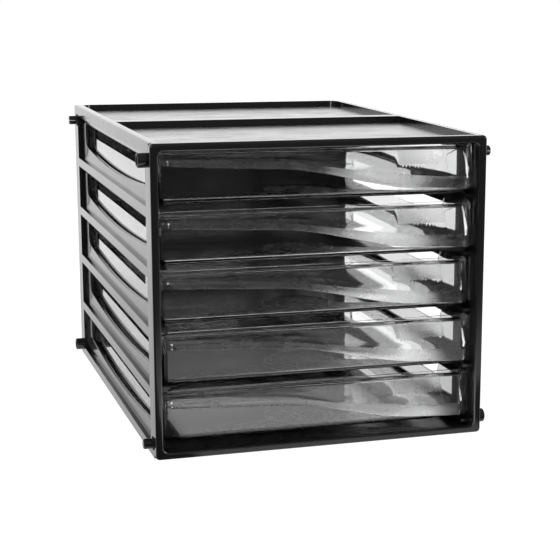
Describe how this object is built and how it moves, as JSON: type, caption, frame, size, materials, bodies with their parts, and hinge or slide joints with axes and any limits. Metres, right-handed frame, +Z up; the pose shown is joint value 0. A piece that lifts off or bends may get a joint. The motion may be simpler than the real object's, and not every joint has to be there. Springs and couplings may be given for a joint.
{
  "type": "plastic drawer tower",
  "caption": "Desk-top tower of clear sliding drawers with curved finger lips in a black moulded cabinet with side windows and side-to-side link connectors.",
  "frame": {"origin": "middle of the cabinet's footprint, on the table", "axes": "+Z up, drawers pull out along -Y, +X to the right of someone facing the drawers"},
  "size_m": [0.2746, 0.366, 0.235],
  "materials": {
    "black_plastic": "satin black moulded polystyrene",
    "clear_plastic": "clear polished polystyrene"
  },
  "bodies": {
    "cabinet": {"front_frame": "black_plastic", "top_panel": "black_plastic", "bottom_panel": "black_plastic", "back_panel": "black_plastic", "left_side_panel": "black_plastic", "right_side_panel": "black_plastic", "left_front_link_pin": "black_plastic", "left_back_link_pin": "black_plastic", "right_front_link_pin": "black_plastic", "right_back_link_pin": "black_plastic"},
    "drawer_1": {"drawer_1": "clear_plastic"},
    "drawer_2": {"drawer_2": "clear_plastic"},
    "drawer_3": {"drawer_3": "clear_plastic"},
    "drawer_4": {"drawer_4": "clear_plastic"},
    "drawer_5": {"drawer_5": "clear_plastic"}
  },
  "joints": [
    {"name": "drawer_1_slide", "type": "slide", "parent": "cabinet", "child": "drawer_1", "axis": [0, -1, 0], "range_m": [-0.006, 0.25]},
    {"name": "drawer_2_slide", "type": "slide", "parent": "cabinet", "child": "drawer_2", "axis": [0, -1, 0], "range_m": [-0.006, 0.25]},
    {"name": "drawer_3_slide", "type": "slide", "parent": "cabinet", "child": "drawer_3", "axis": [0, -1, 0], "range_m": [-0.0005, 0.2555]},
    {"name": "drawer_4_slide", "type": "slide", "parent": "cabinet", "child": "drawer_4", "axis": [0, -1, 0], "range_m": [-0.005, 0.251]},
    {"name": "drawer_5_slide", "type": "slide", "parent": "cabinet", "child": "drawer_5", "axis": [0, -1, 0], "range_m": [-0.0025, 0.2535]}
  ]
}
